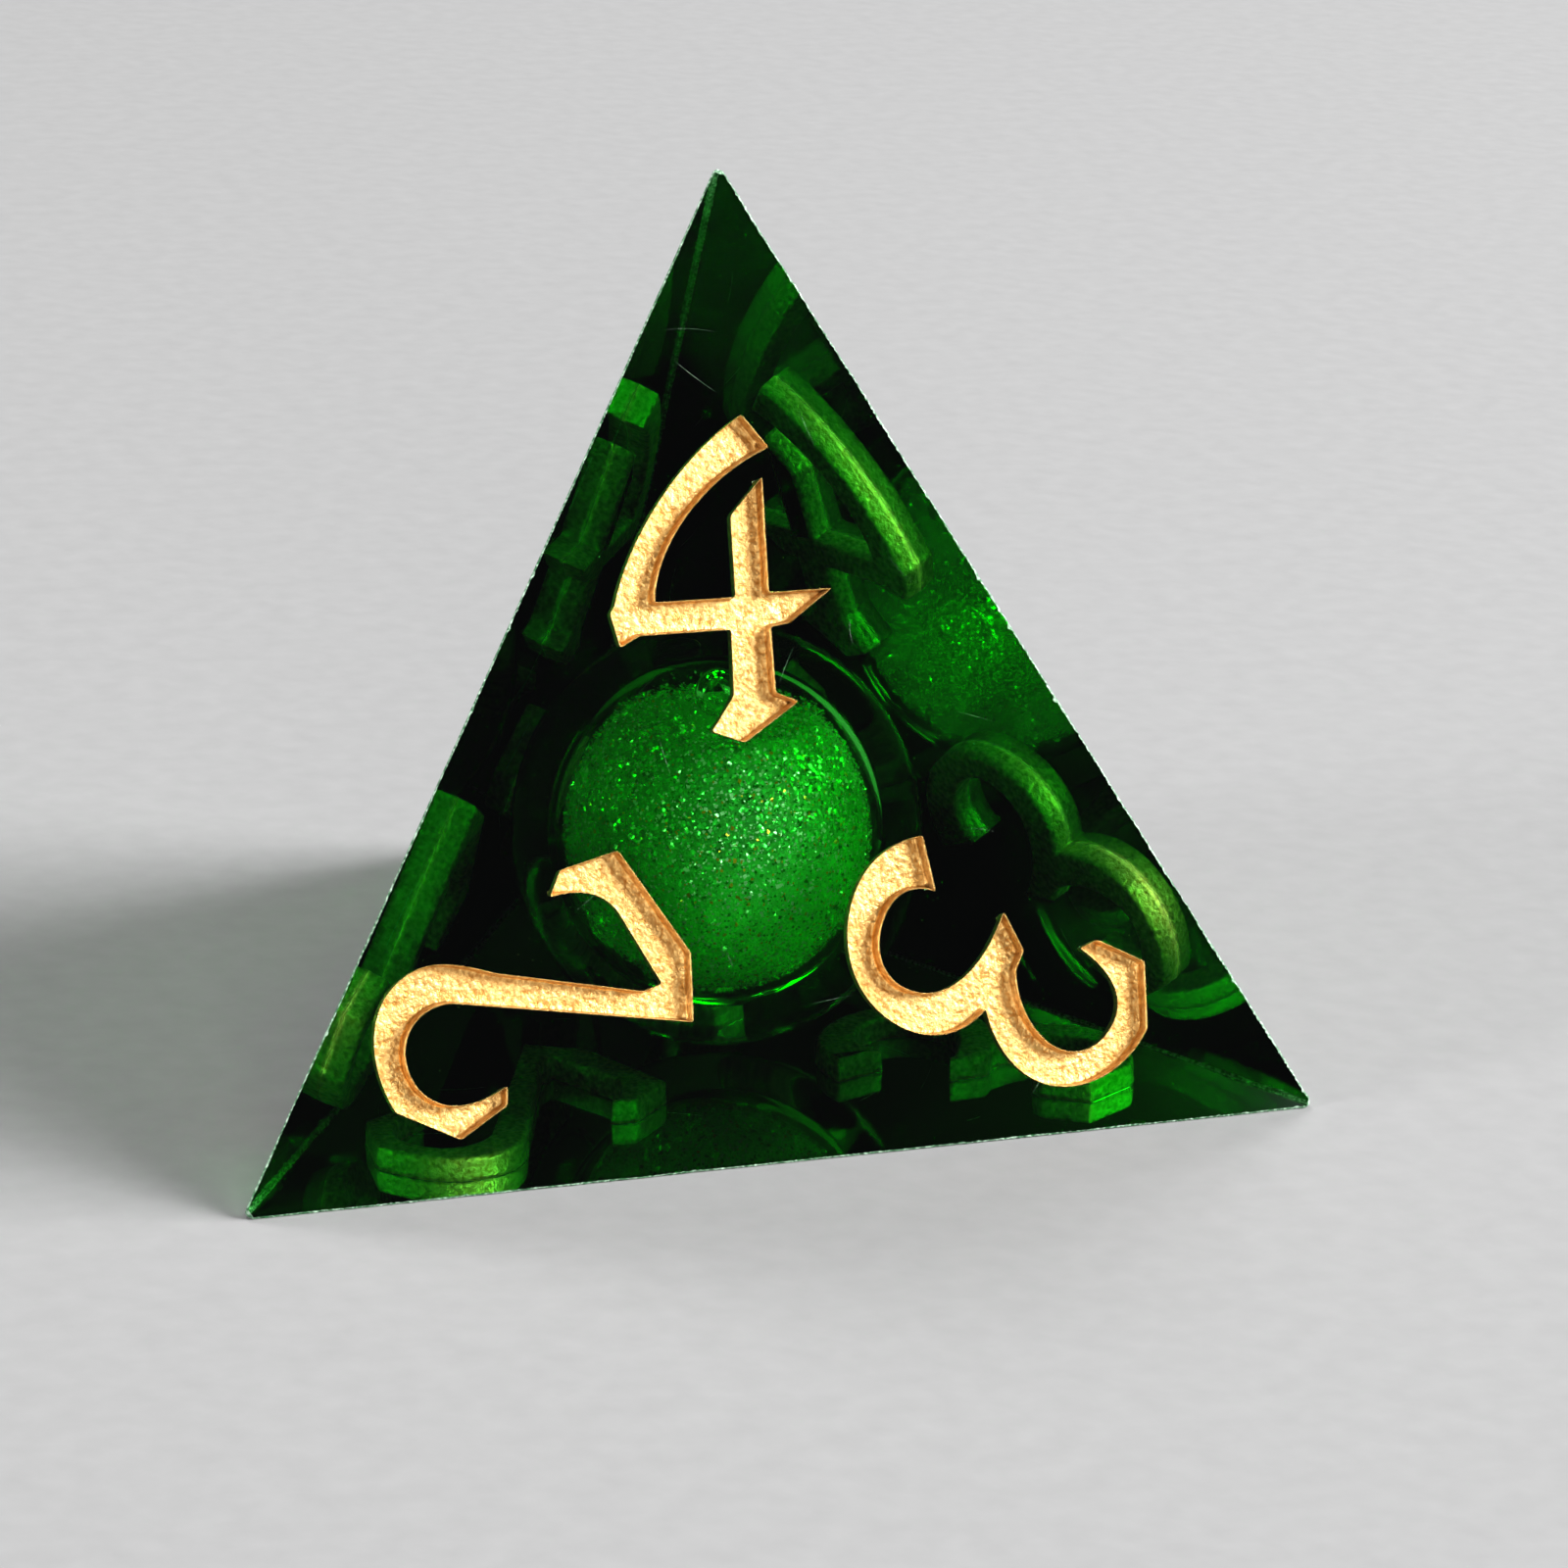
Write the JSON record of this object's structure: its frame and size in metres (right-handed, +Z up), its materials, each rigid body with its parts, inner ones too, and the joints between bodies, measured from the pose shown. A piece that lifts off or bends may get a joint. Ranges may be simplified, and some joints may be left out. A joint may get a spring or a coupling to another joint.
{
  "type": "polyhedral die",
  "caption": "Sharp-edged four-sided die of clear green resin with gold-filled engraved numerals and a liquid core of swirling glitter.",
  "frame": {"origin": "centre of the base face, which the die rests on, before its edges were polished", "axes": "+Z up through the opposite corner, -Y towards the front face, +X to the right of it"},
  "size_m": [0.0218, 0.0188, 0.0177],
  "materials": {
    "green_resin": "clear deep green cast resin, hand polished to a gloss, edges left sharp and slightly frosted",
    "gold_paint": "metallic gold acrylic paint, granular where it has dried in the numerals",
    "clear_shell": "clear moulded acrylic, water clear",
    "clear_plug": "clear cured resin, flush with the shell",
    "carrier_liquid": "thin clear green oil",
    "mica_glitter": "fine green mica with silver and gold flakes, sparkling"
  },
  "bodies": {
    "die": {"resin_first_pour": "green_resin", "resin_second_pour": "green_resin", "numeral_front_4": "gold_paint", "numeral_front_2": "gold_paint", "numeral_front_3": "gold_paint", "numeral_right_4": "gold_paint", "numeral_right_3": "gold_paint", "numeral_right_1": "gold_paint", "numeral_left_4": "gold_paint", "numeral_left_1": "gold_paint", "numeral_left_2": "gold_paint", "numeral_base_1": "gold_paint", "numeral_base_3": "gold_paint", "numeral_base_2": "gold_paint", "core_shell_lower": "clear_shell", "core_shell_upper": "clear_shell", "core_fill_plug": "clear_plug"},
    "core_contents": {"core_liquid": "carrier_liquid"},
    "glitter": {"glitter_cloud": "mica_glitter"}
  },
  "joints": [
    {"name": "liquid_levelling", "type": "hinge", "parent": "die", "child": "core_contents", "pos_m": [0, 0, 0.00449], "axis": [1, 0, 0], "continuous": true},
    {"name": "glitter_swirl", "type": "hinge", "parent": "core_contents", "child": "glitter", "pos_m": [0, 0, 0.00449], "axis": [0, 0, 1], "continuous": true}
  ]
}
